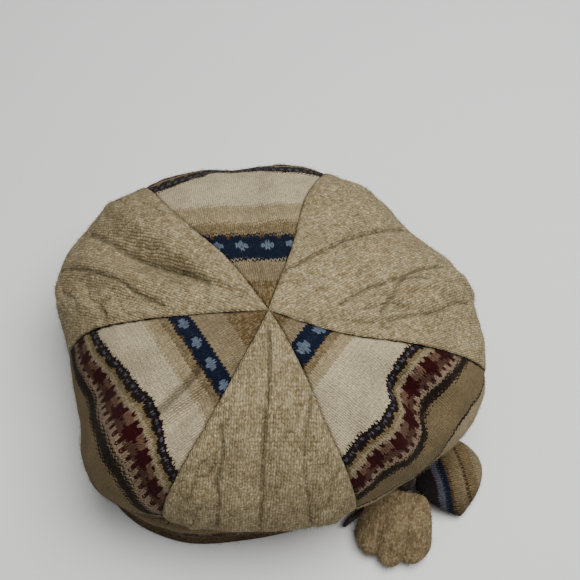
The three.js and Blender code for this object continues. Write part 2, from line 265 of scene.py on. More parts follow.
# %% Tables of the relief, in cloth millimetres
# x of the middle at each of the MARKS, half width, length of a twist, y where one starts, height
ROPES = {
    "panel_right_cable": (
        ((-24, -29, -32), 12.0, 58, 50, 1.7),
        ((58, 57, 56), 10.0, 58, 35, 1.2),
    ),
    "panel_left_cable": (
        ((-36, -36, -37), 10.5, 56, 70, 0.8),
        ((32, 31, 28), 11.0, 56, 40, 0.9),
    ),
    "panel_front_cable": (
        ((-37, -37, -37), 10.5, 58, 62, 1.4),
        ((33, 32, 35), 10.5, 58, 40, 1.4),
    ),
}

# marks of a sunk line as x and y, half width, depth, and how far its stitches show as pits
LINES = {
    "panel_right_cable": (
        (((17, 16), (17, 48), (17, 67), (17, 92), (18, 126)), 1.5, 1.6, 0.30),
        (((-16, 34), (-14, 46), (-15, 59), (-17, 72), (-25, 86)), 1.1, 1.3, 0.05),
        (((-30, 50), (-24, 62), (-19, 71), (-17, 83), (-20, 108)), 1.1, 1.5, 0.00),
        (((-37, 52), (-40, 65), (-44, 80), (-43, 95), (-45, 112)), 1.1, 1.3, 0.00),
        (((-2, 28), (-3, 43), (-4, 62)), 1.0, 0.5, 0.20),
    ),
    "panel_left_cable": (
        (((-2, 37), (-3, 51), (-3, 68), (-4, 88), (-10, 120), (-13, 136)), 1.7, 1.5, 0.05),
        (((20, 52), (18, 72), (15, 83), (14, 96), (13, 115), (13, 145)), 1.1, 1.3, 0.05),
        (((34, 84), (31, 93), (25, 88)), 1.1, 1.1, 0.00),
    ),
    "panel_front_left_fair_isle": (
        (((14, 76), (12, 66), (10, 56), (6, 46)), 2.2, 1.9, 0.00),
    ),
    "panel_front_cable": (
        (((-1, 12), (-1, 28), (-2, 46), (-3, 72), (-2, 99), (-2, 128)), 1.1, 1.3, 0.10),
        (((-25, 60), (-23, 74), (-24, 83), (-26, 91), (-24, 101), (-25, 130)), 1.1, 1.2, 0.00),
        (((-35, 87), (-30, 86), (-27, 80)), 1.0, 0.9, 0.00),
        (((21, 44), (18, 75), (22, 100), (25, 124)), 1.1, 1.0, 0.00),
    ),
}
MARKS = (30, 75, 120)
PURL_STEP = 3.6 * MM

# A strand's swing and half width are shares of the rope's half width, and its lift is a share of its height.
STRAND_SWING = 0.45
STRAND_HALF = 0.70
STRAND_LIFT = 0.6
CROSSING_DEPTH = 1.0 * MM
FLANK_DEPTH = 0.6 * MM


def bend(marks, y):
    """A line's x at y, on a smooth curve through its three marks."""
    return smooth(marks, np.clip((y / MM - MARKS[0]) / (MARKS[1] - MARKS[0]), 0, 2)) * MM


def rope(x, y, middle, half, length, start, height):
    """Rise of two strands that twist round each other, and the painted shade in the crease where one dives
    under the other and along the rope's flanks.
    """
    half, length, height = half * MM, length * MM, height * MM
    turn = 2 * np.pi * (y - start * MM) / length
    strands = []
    for way_round in (0, np.pi):
        aside = x - bend(middle, y) - STRAND_SWING * half * np.cos(turn + way_round)
        lift = STRAND_LIFT * np.sin(turn + way_round)
        strands.append(hump(aside / (STRAND_HALF * half)) * (1 + lift))
    over, under = np.maximum(*strands), np.minimum(*strands)
    grown = ramp(y, 22 * MM, 50 * MM)
    between = np.exp(-(((over - under) / 0.22) ** 2)) * ramp(over, 0.1, 0.4) * grown
    edge = np.exp(-(((over - 0.12) / 0.10) ** 2)) * hump((x - bend(middle, y)) / (1.5 * half)) * grown
    rise = height * over * grown - CROSSING_DEPTH * between - FLANK_DEPTH * edge
    return rise, 0.35 * between + 0.25 * edge


def sunk_line(x, y, marks, half, depth, pitted):
    """How deep the cloth sinks along a smooth curve through some marks."""
    place = np.linspace(0, len(marks) - 1, 24 * len(marks))
    course_x, course_y = (smooth([mark[k] for mark in marks], place) * MM for k in (0, 1))
    square = np.full_like(x, np.inf)
    for at_x, at_y in zip(course_x, course_y):
        square = np.minimum(square, (x - at_x) ** 2 + (y - at_y) ** 2)
    pits = 1 - pitted * (0.5 + 0.5 * np.sin(2 * np.pi * y / PURL_STEP))
    return depth * MM * pits * np.exp(-square / (half * MM) ** 2)


def relief(name, x, y):
    """How far the cloth stands out, and how deep in a crease it is, from 0 to 1, as a mask of painted shade.
    """
    rise, crease = np.zeros_like(x), np.zeros_like(x)
    for row in ROPES.get(name, ()):
        lift, line = rope(x, y, *row)
        rise, crease = rise + lift, np.maximum(crease, line)
    for row in LINES.get(name, ()):
        sunk = sunk_line(x, y, *row)
        rise, crease = rise - sunk, np.maximum(crease, np.clip(sunk / (1.5 * MM), 0, 1))
    return rise, crease


print(sum(map(len, ROPES.values())), "ropes and", sum(map(len, LINES.values())), "sunk lines")

# %% [markdown]
# ## Six wedges of cloth
# Each wedge starts as Blender's flat grid. Its two directions become the share across the panel and the
# share of the way, and the shape function lays every vertex on the crown. The place on the flat cloth goes
# into a UV map, so the knit can follow the cloth later. Solidify then gives the sheet its real thickness,
# inwards.

# %% Lay a panel on the crown
STITCH = 1.05 * MM     # spacing of the sheet's vertices at the widest place
TIP = 0.15 * MM        # what is left open at the apex
SEAM_LINE = 0.9 * MM   # half width of the sharp groove at a seam
PUCKER = 0.22 * MM
PUCKER_STEP = 7.5 * MM

# reach and depth of the soft dip beside a seam, and depth of the sharp groove
SEAMS = {"oatmeal": (4 * MM, 0.3 * MM, 0.6 * MM), "cream": (8 * MM, 1.1 * MM, 0.9 * MM)}

# painted shade in the sharp groove at a seam: how dark the groove looks
SEAM_GROOVE_SHADE = {"oatmeal": 0.35, "cream": 0.9}

# depth, size and seed of the random swells of the cloth
SWELLS = ((1.1 * MM, 22 * MM, 1), (0.45 * MM, 7 * MM, 8))


def wrinkle(points, size, seed):
    """Smooth random swell from -1 to 1 at each point."""
    shift = mathutils.Vector((seed, 0.3 * seed, 0))
    return np.array([mathutils.noise.noise(mathutils.Vector(p) / size + shift) for p in points.tolist()])


def seam_dip(panel, aside, y):
    """The oatmeal panels lie over the cream ones, so their edges stay higher and turn in sharply."""
    pucker = PUCKER * np.sin(2 * np.pi * y / PUCKER_STEP) * np.exp(-((aside / (5 * MM)) ** 2))
    wide, deep, sharp = SEAMS[panel["cloth"]]
    return deep * np.exp(-((aside / wide) ** 2)) + sharp * np.exp(-((aside / SEAM_LINE) ** 2)) + pucker


def stray(k, way):
    """Degrees by which the needle strays from the course of seam k."""
    course = PANELS[k]["seam"] + PANELS[k]["wander"] * (1 - way) ** 2
    radius = np.maximum(crown_at(course, way)[0], 6 * MM)
    return np.degrees(smooth(STRAYS[k], way * (len(STRAYS[k]) - 1)) * MM / radius)


def lay_panel(k, across, along):
    """Points of a panel's outside, and where they are on the flat cloth."""
    later = (k + 1) % len(PANELS)
    panel, after = PANELS[k], PANELS[later]
    sweep = (after["seam"] - panel["seam"]) % 360
    tip = TIP / CROWN[0, 0, 4]
    way = tip + along * (1 - tip)
    start = panel["seam"] + panel["wander"] * (1 - way) ** 2
    end = start + sweep + (after["wander"] - panel["wander"]) * (1 - way) ** 2
    middle = (start + end) / 2
    start, end = start + stray(k, way), end + stray(later, way)
    bearing = start + (end - start) * across
    radius, height, out, up, length = crown_at(bearing, way)
    x = radius * np.radians(bearing - middle)
    y = np.sqrt(np.maximum((way * length) ** 2 - x**2, 0))
    aside = radius * np.radians((end - start) * (0.5 - np.abs(across - 0.5)))
    rise, crease = relief(panel["name"], x, y)
    rise = rise * ramp(aside, 0, 6 * MM) * (1 - ramp(way, 0.88, 1))
    plain = polar(radius, bearing, height)
    soft = sum(deep * wrinkle(plain, size, k + seed) for deep, size, seed in SWELLS)
    depth = seam_dip(panel, aside, y) + folds(bearing, way) - rise - soft * ramp(way, 0.02, 0.2)
    radius = radius - out * depth
    height = np.maximum(height - up * depth, FOOT)
    points = polar(radius, bearing, height)
    points[:, :2] += AXIS
    # painted shade along the sharp groove of each seam, added to the painted shade of the creases
    crease = np.maximum(crease, SEAM_GROOVE_SHADE[panel["cloth"]] * np.exp(-((aside / SEAM_LINE) ** 2)))
    return points, x, y, crease


def new_grid(name, columns, rows):
    """A flat grid of the given number of cells, with a UV map for the flat cloth."""
    bpy.ops.mesh.primitive_grid_add(
        x_subdivisions=columns, y_subdivisions=rows, size=1, location=(0, 0, 0))
    grid = bpy.context.object
    grid.name = name
    grid.data.uv_layers[0].name = "cloth"
    return grid


def read_points(mesh):
    """The places of a mesh's vertices, one row for each."""
    places = np.zeros(len(mesh.vertices) * 3)
    mesh.vertices.foreach_get("co", places)
    return places.reshape(-1, 3)


def read_uv(mesh, layer):
    """The places on the flat cloth of a mesh's corners, one row for each."""
    places = np.zeros(len(mesh.loops) * 2)
    layer.data.foreach_get("uv", places)
    return places.reshape(-1, 2)


def write_uv(mesh, name, u, v):
    layer = mesh.uv_layers.get(name) or mesh.uv_layers.new(name=name)
    corner = np.zeros(len(mesh.loops), int)
    mesh.loops.foreach_get("vertex_index", corner)
    layer.data.foreach_set("uv", np.stack([u[corner], v[corner]], axis=-1).ravel().astype(np.float32))


def write_mask(mesh, name, values):
    mask = mesh.attributes.new(name=name, type="FLOAT", domain="POINT")
    mask.data.foreach_set("value", values.astype(np.float32))


print("vertex spacing", STITCH / MM, "mm")

# %% [markdown]
# ## Where the Fair Isle stripes lie
# The three cream wedges are cut from the same patterned jumper, but felting and the seams have pulled the
# stripes into waves. One chart serves all of them: a second UV map says for each point how far down the
# chart it is. A short table gives the real height of some marks of the chart across each wedge, and the
# rest lies between them.

# %% The chart of the jumper, row by row from the apex
COURSE = 2.1 * MM      # height of one row of stitches
WALE = 2.3 * MM        # width of one stitch

AMBER = (0.108, 0.068, 0.024)
OCHRE = (0.150, 0.106, 0.050)
TAN = (0.225, 0.178, 0.105)
SAND = (0.33, 0.262, 0.152)
CREAM = (0.46, 0.385, 0.25)
NAVY = (0.0045, 0.0085, 0.021)
ICE = (0.095, 0.120, 0.160)
BARK = (0.010, 0.006, 0.004)
PLUM = (0.014, 0.007, 0.010)
LILAC = (0.070, 0.064, 0.082)
MAROON = (0.026, 0.0010, 0.0018)
ROSE = (0.110, 0.060, 0.036)
DUSK = (0.060, 0.030, 0.018)
PALE_ROSE = (0.20, 0.140, 0.092)
OLIVE = (0.165, 0.122, 0.062)
UMBER = (0.060, 0.036, 0.014)
RUSSET = (0.032, 0.009, 0.006)

# rows, ground, motif, the motif's share of a repeat, stitches in a repeat, how flecked the row is
CHART = (
    ("ochre", 10, AMBER, TAN, 0.00, 6, 0.55),
    ("flecked", 7, TAN, OCHRE, 0.00, 6, 0.70),
    ("navy", 2, NAVY, BARK, 0.00, 6, 0.10),
    ("dots", 1, NAVY, ICE, 0.17, 6, 0.00),
    ("dot_middle", 3, NAVY, ICE, 0.34, 6, 0.05),
    ("dot_foot", 1, NAVY, ICE, 0.17, 6, 0.00),
    ("navy_foot", 1, NAVY, BARK, 0.00, 6, 0.10),
    ("navy_edge", 1, NAVY, UMBER, 0.25, 4, 0.10),
    ("gold", 2, OCHRE, TAN, 0.00, 6, 0.60),
    ("flecked_gold", 3, SAND, OCHRE, 0.00, 6, 0.50),
    ("cream", 10, CREAM, SAND, 0.00, 6, 0.16),
    ("first_dark", 1, BARK, PLUM, 0.00, 6, 0.20),
    ("lilac_dots", 1, PLUM, LILAC, 0.50, 2, 0.10),
    ("dark_core", 1, BARK, PLUM, 0.00, 6, 0.20),
    ("bark_foot", 1, BARK, OCHRE, 0.25, 4, 0.05),
    ("gold_line", 1, OCHRE, TAN, 0.00, 6, 0.40),
    ("tan_line", 2, TAN, SAND, 0.00, 6, 0.40),
    ("dotted", 1, PALE_ROSE, MAROON, 0.50, 2, 0.00),
    ("peaks", 1, MAROON, ROSE, 0.50, 6, 0.00),
    ("slopes", 1, MAROON, ROSE, 0.50, 6, 0.05),
    ("waist", 1, MAROON, DUSK, 0.17, 6, 0.00),
    ("lower_slopes", 1, MAROON, DUSK, 0.50, 6, 0.00),
    ("foot", 1, MAROON, DUSK, 0.67, 6, 0.05),
    ("maroon_edge", 1, MAROON, PALE_ROSE, 0.50, 2, 0.05),
    ("rose_line", 1, PALE_ROSE, TAN, 0.00, 6, 0.30),
    ("second_dark", 1, BARK, UMBER, 0.00, 6, 0.20),
    ("second_core", 1, BARK, UMBER, 0.00, 6, 0.25),
    ("olive", 6, OLIVE, OCHRE, 0.00, 6, 0.60),
    ("thin_dark", 1, BARK, UMBER, 0.00, 6, 0.20),
    ("hem", 14, SAND, TAN, 0.00, 6, 0.40),
)
CHART_ROWS = sum(row[1] for row in CHART)


def chart_place(name):
    """Where a named stripe of the chart starts, as a length from the apex."""
    names = [row[0] for row in CHART]
    return COURSE * sum(row[1] for row in CHART[:names.index(name)])


print(CHART_ROWS, "rows;", "the maroon band starts at", round(chart_place("peaks") / MM, 1), "mm")

# %% Marks of the chart on each wedge, in cloth millimetres
MARK_X = (-50, -25, -8, 0, 8, 25, 50)
STRIPES = {
    "panel_back_fair_isle": {
        "navy": (24, 26, 27, 28, 30, 33, 38),
        "dots": (31, 34, 35, 36, 38, 41, 45),
        "navy_foot": (36, 39, 40, 41, 43, 46, 50),
        "gold": (38, 41, 44, 46, 47, 50, 54),
        "cream": (63, 66, 68, 69, 70, 72, 78),
        "first_dark": (100, 100, 114, 117, 114, 106, 101),
        "gold_line": (113, 113, 129, 131, 128, 121, 116),
        "second_dark": (121, 122, 136, 139, 136, 130, 125),
        "olive": (128, 129, 143, 146, 143, 137, 132),
    },
    "panel_front_left_fair_isle": {
        "navy": (35,) * len(MARK_X),
        "gold": (45,) * len(MARK_X),
        "cream": (57,) * len(MARK_X),
        "first_dark": (86, 82, 78, 76, 74, 80, 87),
        "peaks": (99, 96, 93, 90, 87, 90, 104),
        "maroon_edge": (107, 106, 103, 100, 98, 99, 116),
        "second_dark": (111, 111, 109, 107, 105, 106, 125),
        "olive": (121, 121, 119, 117, 115, 117, 137),
        "thin_dark": (135, 139, 142, 143, 143, 145, 149),
    },
    "panel_front_right_fair_isle": {
        "navy": (20,) * len(MARK_X),
        "gold": (33,) * len(MARK_X),
        "cream": (43,) * len(MARK_X),
        "first_dark": (78, 76, 79, 79, 72, 69, 74),
        "peaks": (96, 89, 92, 90, 84, 80, 87),
        "second_dark": (107, 101, 108, 105, 97, 95, 99),
        "olive": (114, 108, 115, 112, 104, 102, 106),
        "thin_dark": (120, 127, 136, 134, 128, 125, 128),
    },
}


def chart_length(name, x, y):
    """How far down the chart the cloth at x, y is."""
    marks = STRIPES[name]
    real = [np.zeros_like(x)]
    real += [smooth(row, np.interp(x / MM, MARK_X, range(len(MARK_X)))) * MM for row in marks.values()]
    chart = [0.0] + [chart_place(key) for key in marks]
    result = chart[-1] + (y - real[-1])
    for low, high, first, last in zip(real[:-1], real[1:], chart[:-1], chart[1:]):
        inside = (y >= low) & (y < high)
        result = np.where(inside, first + (last - first) * (y - low) / (high - low), result)
    return result


print("stripes marked on", len(STRIPES), "wedges")


# %% Make the six wedges
def make_panel(k):
    panel = PANELS[k]
    rim = CROWN_RADIUS * math.radians((PANELS[(k + 1) % len(PANELS)]["seam"] - panel["seam"]) % 360)
    columns, rows = round(rim / STITCH), round(float(CROWN[0, 0, 4]) / STITCH)
    sheet = new_grid("cloth_" + panel["name"], columns, rows)
    mesh = sheet.data
    flat = read_points(mesh)
    points, x, y, crease = lay_panel(k, flat[:, 0] + 0.5, 0.5 - flat[:, 1])
    mesh.vertices.foreach_set("co", points.ravel())
    write_uv(mesh, "cloth", x, y)
    if panel["name"] in STRIPES:
        write_uv(mesh, "chart", x, chart_length(panel["name"], x, y))
    # painted shade for the creases and seams, which the material darkens its colour by
    write_mask(mesh, "crease", crease)
    mesh.update()
    print(sheet.name, columns, "by", rows, "cells")
    return sheet


panels = {panel["name"]: make_panel(k) for k, panel in enumerate(PANELS)}

# %% [markdown]
# ## Thickness for the wedges
# A bare sheet has no edge to catch the light, and its back would show the same face. Solidify copies it
# inwards by the thickness of felted knit and closes the edges all round. It is applied, so that the mesh
# itself is a solid wall, and the wedge then stands in for the part's plain one.

# %% Solidify and finish a piece
ROOT = "root"


def select_only(piece):
    bpy.ops.object.select_all(action="DESELECT")
    bpy.context.view_layer.objects.active = piece
    piece.select_set(True)


def apply_modifier(piece, kind, **settings):
    select_only(piece)
    modifier = piece.modifiers.new(kind.title(), kind)
    for name, value in settings.items():
        setattr(modifier, name, value)
    bpy.ops.object.modifier_apply(modifier=modifier.name)


def outward(piece):
    """Turns the faces so that they all point out of the closed mesh."""
    select_only(piece)
    bpy.ops.object.mode_set(mode="EDIT")
    bpy.ops.mesh.select_all(action="SELECT")
    bpy.ops.mesh.normals_make_consistent(inside=False)
    bpy.ops.object.mode_set(mode="OBJECT")


def stand_in(piece, node):
    """The piece moves with the hat and is shown instead of the part's plain solid."""
    piece.data.shade_smooth()
    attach(piece, ROOT)
    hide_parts(node)


for name, sheet in panels.items():
    apply_modifier(sheet, "SOLIDIFY", thickness=KNIT_WALL, offset=-1)
    stand_in(sheet, name)

# %% [markdown]
# ## The band
# The band is a ring of the same thick knit with its lower edge rolled outwards. A torus already is a closed
# ring with a closed section, so each of its circles is laid on the band's section and each turn on the
# band's outline.

# %% Sweep the band
# shares of the wall outwards, of the hem's bulge outwards, and of the band's and the hem's height upwards
BAND_SECTION = {
    "wall": (0.20, 0.80, 1.00, 1.00, 1.00, 1.00, 1.00, 1.00, 0.00, 0.00, 0.00),
    "bulge": (0.0, 0.4, 0.9, 1.0, 0.5, 0.1, 0.2, 0.0, 0.0, 0.0, 0.0),
    "band": (0.0, 0.0, 0.0, 0.0, 0.0, 0.0, 0.6, 1.0, 1.0, 0.0, 0.0),
    "hem": (0.00, 0.00, 0.22, 0.50, 0.85, 1.15, 0.00, 0.00, 0.00, 0.90, 0.20),
}
BAND_TURNS = 300
BAND_LOOP = 66


def ring_grid(mesh, turns, loop):
    """Turn and loop number of each vertex of a torus, from its place."""
    x, y, z = read_points(mesh).T
    i = np.round(np.arctan2(y, x) / (2 * np.pi) * turns) % turns
    j = np.round(np.arctan2(z, np.hypot(x, y) - 1) / (2 * np.pi) * loop) % loop
    return i, j


def write_ring_uv(mesh, i, j, turns, loop, width, run):
    """A UV map in real lengths that doesn't fold back where the ring closes."""
    layer = mesh.uv_layers[0]
    layer.name = "cloth"
    for face in mesh.polygons:
        corners = list(face.loop_indices)
        turn = np.array([i[mesh.loops[c].vertex_index] for c in corners])
        round_ = np.array([j[mesh.loops[c].vertex_index] for c in corners])
        turn = np.where((turn == 0) & (turn.max() == turns - 1), turns, turn)
        round_ = np.where((round_ == 0) & (round_.max() == loop - 1), loop, round_)
        for c, u, v in zip(corners, turn, round_):
            layer.data[c].uv = (u / turns * width, run[int(v)])


def make_band():
    bpy.ops.mesh.primitive_torus_add(
        major_segments=BAND_TURNS, minor_segments=BAND_LOOP,
        major_radius=1, minor_radius=0.2, location=(0, 0, 0))
    ring = bpy.context.object
    ring.name = "cloth_band"
    i, j = ring_grid(ring.data, BAND_TURNS, BAND_LOOP)
    place = (-j % BAND_LOOP) / BAND_LOOP * len(BAND_SECTION["wall"])
    rows = {key: smooth(column, place, closed=True) for key, column in BAND_SECTION.items()}
    bearing = i / BAND_TURNS * 360
    radius = BAND_RADIUS * outline("band", bearing) - BAND_WALL * (1 - rows["wall"])
    radius = radius + HEM_BULGE * rows["bulge"]
    height = np.maximum(BAND_HEIGHT * rows["band"] + HEM_HEIGHT * rows["hem"], 0)
    points = polar(radius, bearing, height)
    swell = 0.5 * MM * wrinkle(points, 16 * MM, 21) * ramp(height, 2 * MM, 8 * MM)
    points *= 1 + (swell / BAND_RADIUS)[:, None] * (1, 1, 0)
    points[:, :2] += AXIS
    ring.data.vertices.foreach_set("co", points.ravel())
    order = -j % BAND_LOOP
    first = np.argsort(order[i == 0])
    loop = np.stack([np.hypot(*(points[i == 0, :2] - AXIS).T), points[i == 0, 2]], axis=1)[first]
    run = np.concatenate([[0], np.cumsum(np.linalg.norm(np.roll(loop, -1, axis=0) - loop, axis=1))])
    print("once round the band's section", round(run[-1] / MM), "mm")
    write_ring_uv(ring.data, i, order, BAND_TURNS, BAND_LOOP, 2 * math.pi * BAND_RADIUS, run)
    ring.data.update()
    outward(ring)
    return ring


band = make_band()
stand_in(band, "band")

# %% [markdown]
# ## The cloth flower
# The petals are cut from the same felted jumpers and folded, so they are thick and pillowy. Each is a grid
# that is fanned out from the heart of the flower and sinks to the table. Solidify gives it a thickness that
# a vertex group thins towards the rim, and a subdivision rounds the rim off.

# %% Petals
HEART_RADIUS = 7 * MM
HEART_GATHER = 0.1
TABLE_CLEARANCE = 0.8 * MM
heart_low, heart_high = (np.array(corner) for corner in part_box("flower_heart"))
HEART = (heart_low + heart_high) / 2

PETALS = {
    "petal_oatmeal": {"bearing": 258, "length": 48 * MM, "width": 44 * MM, "thickness": 9 * MM, "neck": 0.34,
                      "flare": 0.26, "lobes": 3, "scallop": 0.1, "round": 0.29, "droop": 1.83},
    "petal_striped": {"bearing": 15, "length": 51 * MM, "width": 54 * MM, "thickness": 8 * MM, "neck": 0.34,
                      "flare": 0.69, "lobes": 1, "scallop": 0.05, "round": 0.47, "droop": 0.68},
}
PETAL_CELLS = 46
PETAL_SWELL = 1.2 * MM
PETAL_FOLD = 0.5 * MM
FULLEST = 1.12         # the thickest place of a petal, as a share of its thickness
RIM_THIN = 0.62        # how much thinner the rim is, and a fold near it
FOLD_THIN = 0.25
THINNEST = 0.05        # share of the thickness that is left where the fullness is 0


def grid_shares(mesh):
    x, y, _ = read_points(mesh).T
    return x + 0.5, y + 0.5


def pad(petal, thickness, fullness):
    """Thickens a flat petal by its fullness at each vertex, and rounds its rim."""
    group = petal.vertex_groups.new(name="thick")
    for index, weight in enumerate(fullness.tolist()):
        group.add([index], weight, "REPLACE")
    apply_modifier(petal, "SOLIDIFY", thickness=thickness, offset=0, vertex_group=group.name,
                   thickness_vertex_group=THINNEST)
    apply_modifier(petal, "SUBSURF", levels=1, render_levels=1)
    outward(petal)


def make_petal(node, shape):
    petal = new_grid("cloth_" + node, PETAL_CELLS, PETAL_CELLS)
    across, along = grid_shares(petal.data)
    turn = math.radians(shape["bearing"])
    ahead = np.array([math.cos(turn), math.sin(turn), 0])
    side = np.array([-ahead[1], ahead[0], 0])
    v = 2 * across - 1
    fold = np.abs(np.sin(shape["lobes"] * np.pi * v / 2))
    notch = shape["scallop"] * (1 - np.abs(np.cos(shape["lobes"] * np.pi * v / 2)))
    start = HEART_RADIUS * (1 - HEART_GATHER / 2) + SEAM_GAP
    far = start + (shape["length"] - start) * along * (1 - shape["round"] * v**2 - notch)
    spread = shape["neck"] + (1 - shape["neck"]) * along ** shape["flare"]
    wide = shape["width"] / 2 * v * spread
    lowest = TABLE_CLEARANCE + shape["thickness"] / 2
    height = HEART[2] + (lowest - HEART[2]) * along ** shape["droop"]
    flat = np.stack([far, wide, 0 * far], axis=-1)
    soft = wrinkle(flat, 12 * MM, len(node)) * along
    points = HEART + far[:, None] * ahead + wide[:, None] * side
    points[:, 2] = height + PETAL_SWELL * soft - PETAL_FOLD * fold**6 * along
    petal.data.vertices.foreach_set("co", points.ravel())
    write_uv(petal.data, "cloth", wide, far)
    rim = np.maximum(np.abs(v) ** 4, np.abs(2 * along - 1) ** 8)
    full = (1 - RIM_THIN * rim) * (1 - FOLD_THIN * fold**4 * along) * (1 + (FULLEST - 1) * soft)
    # painted shade, in the folds between the lobes and over one side of the petal
    crease = (0.35 - 0.3 * v) * fold**8 * along + 0.3 * (-v - 0.2)
    write_mask(petal.data, "crease", np.clip(crease, 0, 1))
    pad(petal, FULLEST * shape["thickness"], np.clip(full / FULLEST, 0, 1))
    return petal


petals = {node: make_petal(node, shape) for node, shape in PETALS.items()}
for node, petal in petals.items():
    stand_in(petal, node)

# %% [markdown]
# ## The dark petal and the heart
# The dark petal is a narrow strip. Its root follows the band and its tip stands off it, and only the tip
# shows. The heart is the knot in which all the petals are gathered, so its sphere gets pleats from front to
# back.

# %% Dark petal
FLOWER_BEARING = 320
FLOWER_HEIGHT = 21 * MM
DARK_LENGTH = 33 * MM
DARK_WIDTH = 13 * MM
DARK_THICKNESS = 5 * MM
DARK_SPREAD = 9 * MM    # how far its tip stands off the band
DARK_TIP = 0.35         # the tip's width, as a share of the root's
DARK_REST = 0.3         # the tip's middle above the lowest place it may have, as a share of the root's width
DARK_THIN = 0.4         # how much thinner the tip is than the root


def make_dark_petal():
    petal = new_grid("cloth_petal_dark", 14, 40)
    across, along = grid_shares(petal.data)
    band_share = float(outline("band", np.array(float(FLOWER_BEARING))))
    degrees = 360 / (2 * math.pi * BAND_RADIUS * band_share)
    bearing = FLOWER_BEARING - (HEART_RADIUS + SEAM_GAP + DARK_LENGTH * along) * degrees
    taper = 1 + (DARK_TIP - 1) * along**2
    low = TABLE_CLEARANCE + DARK_WIDTH * DARK_REST
    middle = (FLOWER_HEIGHT - DARK_WIDTH) * (1 - along) + low * along
    lean = (HEM_BULGE + SEAM_GAP) * (1 - along**2) + DARK_SPREAD * along**2
    out = lean + DARK_THICKNESS / 2 * (1 - DARK_THIN * along)
    radius = BAND_RADIUS * outline("band", bearing) + out
    points = polar(radius, bearing, middle + DARK_WIDTH * (across - 0.5) * taper)
    points[:, :2] += AXIS
    petal.data.vertices.foreach_set("co", points.ravel())
    write_uv(petal.data, "cloth", DARK_WIDTH * across, DARK_LENGTH * along)
    edge = np.maximum(np.abs(2 * across - 1) ** 4, np.abs(2 * along - 1) ** 8)
    write_mask(petal.data, "crease", edge * 0)
    pad(petal, DARK_THICKNESS, (1 - 0.6 * edge) * (1 - DARK_THIN * along))
    return petal


dark_petal = make_dark_petal()
stand_in(dark_petal, "petal_dark")

# %% Heart
HEART_DEPTH = 14 * MM
PLEATS = 9


def make_heart():
    bpy.ops.mesh.primitive_uv_sphere_add(segments=72, ring_count=36, radius=1, location=(0, 0, 0))
    knot = bpy.context.object
    knot.name = "cloth_flower_heart"
    mesh = knot.data
    x, y, z = read_points(mesh).T
    tilt, turn = np.arccos(np.clip(z, -1, 1)), np.arctan2(y, x)
    gather = 1 - HEART_GATHER * (0.5 + 0.5 * np.sin(PLEATS * turn + 1.5 * tilt)) * np.sin(tilt)
    bearing = math.radians(FLOWER_BEARING)
    out = np.array([math.cos(bearing), math.sin(bearing), 0])
    side = np.array([-out[1], out[0], 0])
    reach = HEART_RADIUS * np.sin(tilt) * gather
    points = HEART + (HEART_DEPTH / 2 * np.cos(tilt))[:, None] * out
    points += (reach * np.cos(turn))[:, None] * side
    points[:, 2] += reach * np.sin(turn)
    mesh.vertices.foreach_set("co", points.ravel())
    mesh.uv_layers[0].name = "cloth"
    write_uv(mesh, "cloth", HEART_RADIUS * turn, HEART_DEPTH * tilt / math.pi)
    # painted shade in the pleats of the knot
    write_mask(mesh, "crease", np.clip((1 - gather) / HEART_GATHER, 0, 1) ** 2)
    mesh.update()
    outward(knot)
    return knot


heart = make_heart()
stand_in(heart, "flower_heart")
flower = {**petals, "petal_dark": dark_petal, "flower_heart": heart}

# %% [markdown]
# ## Loose fibres
# Felted wool is fuzzy: short ends of fibre stand off the cloth and soften its outline. Hair particles would
# be quick, but they aren't a mesh and can't be exported. So each fibre is a tiny tapered horn of seven
# vertices, and all those of one piece are made at once with arrays and joined in one mesh. Each fibre keeps
# the place on the flat cloth where it grows, so that it takes the colour of its own stitch.

# %% Scatter fibres
FIBRE_WIDTH = 0.055 * MM
FIBRE_LENGTH = 1.9 * MM
FIBRE_ROOT = 0.25 * MM
FIBRES = {"oatmeal": 4700, "cream": 3500, "band": 1800,
          "petal_oatmeal": 2000, "petal_striped": 1600, "petal_dark": 300, "flower_heart": 300}
PANEL_SEED = 40
BAND_SEED = 50
FLOWER_SEED = 60
HORN_FACES = ((0, 2, 1), (0, 1, 4, 3), (1, 2, 5, 4), (2, 0, 3, 5), (3, 4, 6), (4, 5, 6), (5, 3, 6))
HORN_CORNERS = sum(len(face) for face in HORN_FACES)


def face_values(mesh, name, width):
    values = np.zeros(len(mesh.polygons) * width)
    mesh.polygons.foreach_get(name, values)
    return values.reshape(-1, width)


